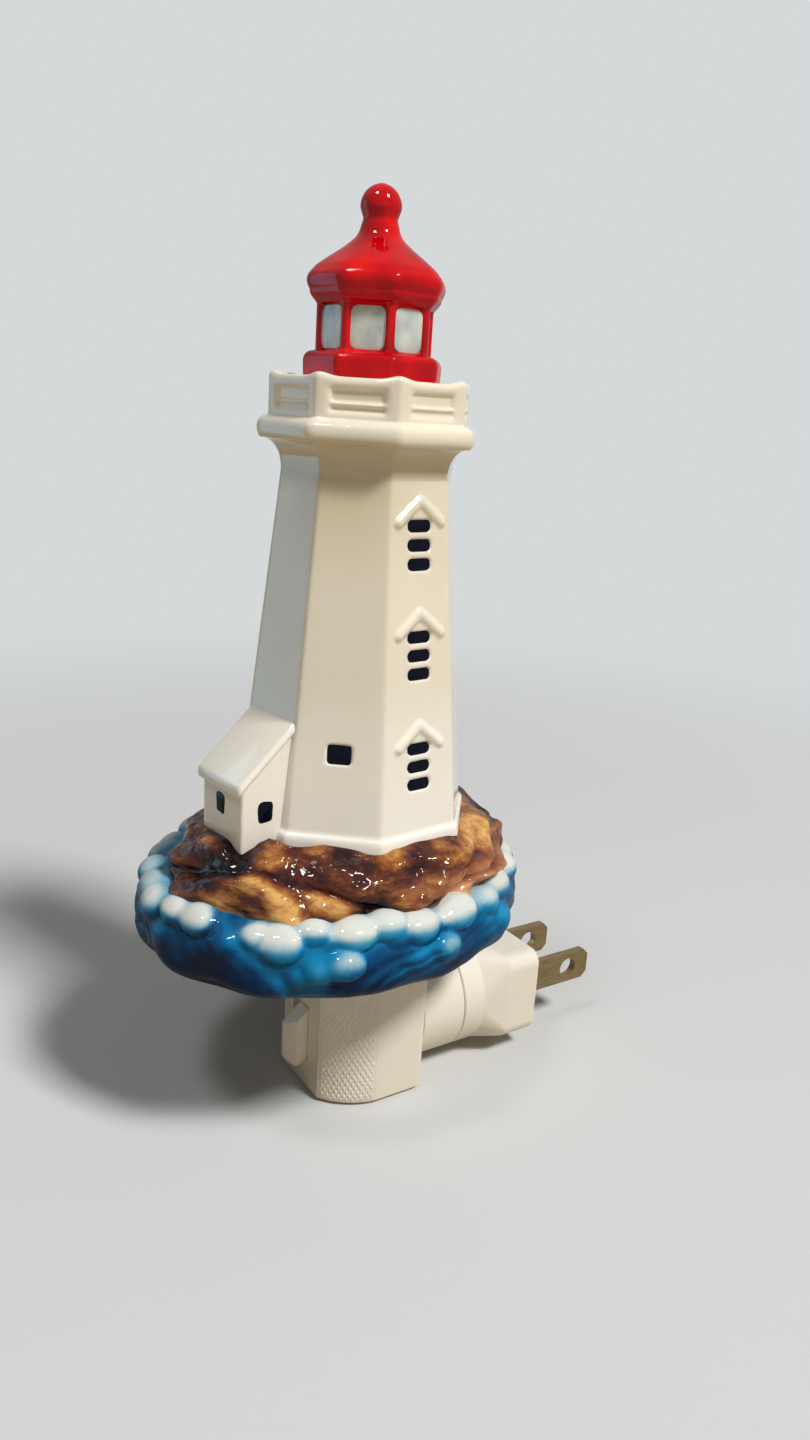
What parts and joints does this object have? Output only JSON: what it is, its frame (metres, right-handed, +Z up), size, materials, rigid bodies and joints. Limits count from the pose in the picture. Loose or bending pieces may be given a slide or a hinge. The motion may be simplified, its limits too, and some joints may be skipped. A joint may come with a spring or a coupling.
{
  "type": "night light",
  "caption": "Plug-in night light: a glazed porcelain lighthouse over a small screw bulb, on a moulded base with a swivel plug and a slide switch.",
  "frame": {"origin": "centre of the plug's wall face, on the plug's axis", "axes": "+Y into the wall along the blades, +Z up through the lighthouse, +X to the right of the viewer in the room"},
  "size_m": [0.0617, 0.0936, 0.1522],
  "materials": {
    "porcelain": "white porcelain, hand painted and clear glazed",
    "ivory_plastic": "moulded ivory urea plastic, diamond knurl on the front shell's cheeks",
    "phenolic": "black moulded phenolic",
    "washer_fibre": "red vulcanised fibre",
    "blade_metal": "nickel-plated stamped brass",
    "contact_brass": "bare stamped brass",
    "screw_steel": "zinc-plated steel",
    "spring_steel": "tempered strip",
    "cap_brass": "rolled thread, lightly oxidised",
    "solder": "dull solder",
    "black_glass": "black vitrite",
    "clear_glass": "clear blown glass",
    "tungsten": "dark drawn wire"
  },
  "bodies": {
    "base": {"front_shell": "ivory_plastic", "rear_shell": "ivory_plastic", "housing_screw_upper_left": "screw_steel", "housing_screw_upper_right": "screw_steel", "housing_screw_lower_left": "screw_steel", "housing_screw_lower_right": "screw_steel", "wiper_carrier": "phenolic", "wiper_live": "contact_brass", "wiper_neutral": "contact_brass", "strip_neutral": "contact_brass", "strip_live": "contact_brass", "strip_load": "contact_brass", "socket_sleeve": "phenolic", "socket_shell": "contact_brass", "centre_contact": "contact_brass", "shade_clip_left": "spring_steel", "shade_clip_right": "spring_steel"},
    "plug": {"plug_upper_half": "ivory_plastic", "plug_lower_half": "ivory_plastic", "plug_screw": "screw_steel", "swivel_washer": "washer_fibre", "blade_neutral": "blade_metal", "blade_live": "blade_metal", "plug_contact_track": "contact_brass", "plug_contact_hub": "contact_brass"},
    "switch": {"switch_slider": "ivory_plastic", "switch_bridge": "contact_brass"},
    "bulb": {"bulb_contact": "solder", "bulb_insulator": "black_glass", "bulb_cap": "cap_brass", "bulb_glass": "clear_glass", "bulb_stem": "clear_glass", "bulb_filament": "tungsten"},
    "shade": {"lighthouse_shade": "porcelain"}
  },
  "joints": [
    {"name": "swivel", "type": "hinge", "parent": "base", "child": "plug", "pos_m": [0, 0, 0], "axis": [0, 1, 0], "range_deg": [-90, 90]},
    {"name": "switch_slide", "type": "slide", "parent": "base", "child": "switch", "axis": [1, 0, 0], "range_m": [-0.0024, 0]},
    {"name": "bulb_turn", "type": "hinge", "parent": "base", "child": "bulb", "pos_m": [0, -0.0361, 0], "axis": [0, 0, 1], "range_deg": [0, 900]},
    {"name": "shade_lift", "type": "slide", "parent": "base", "child": "shade", "axis": [0, 0, 1], "range_m": [0, 0.05]}
  ]
}
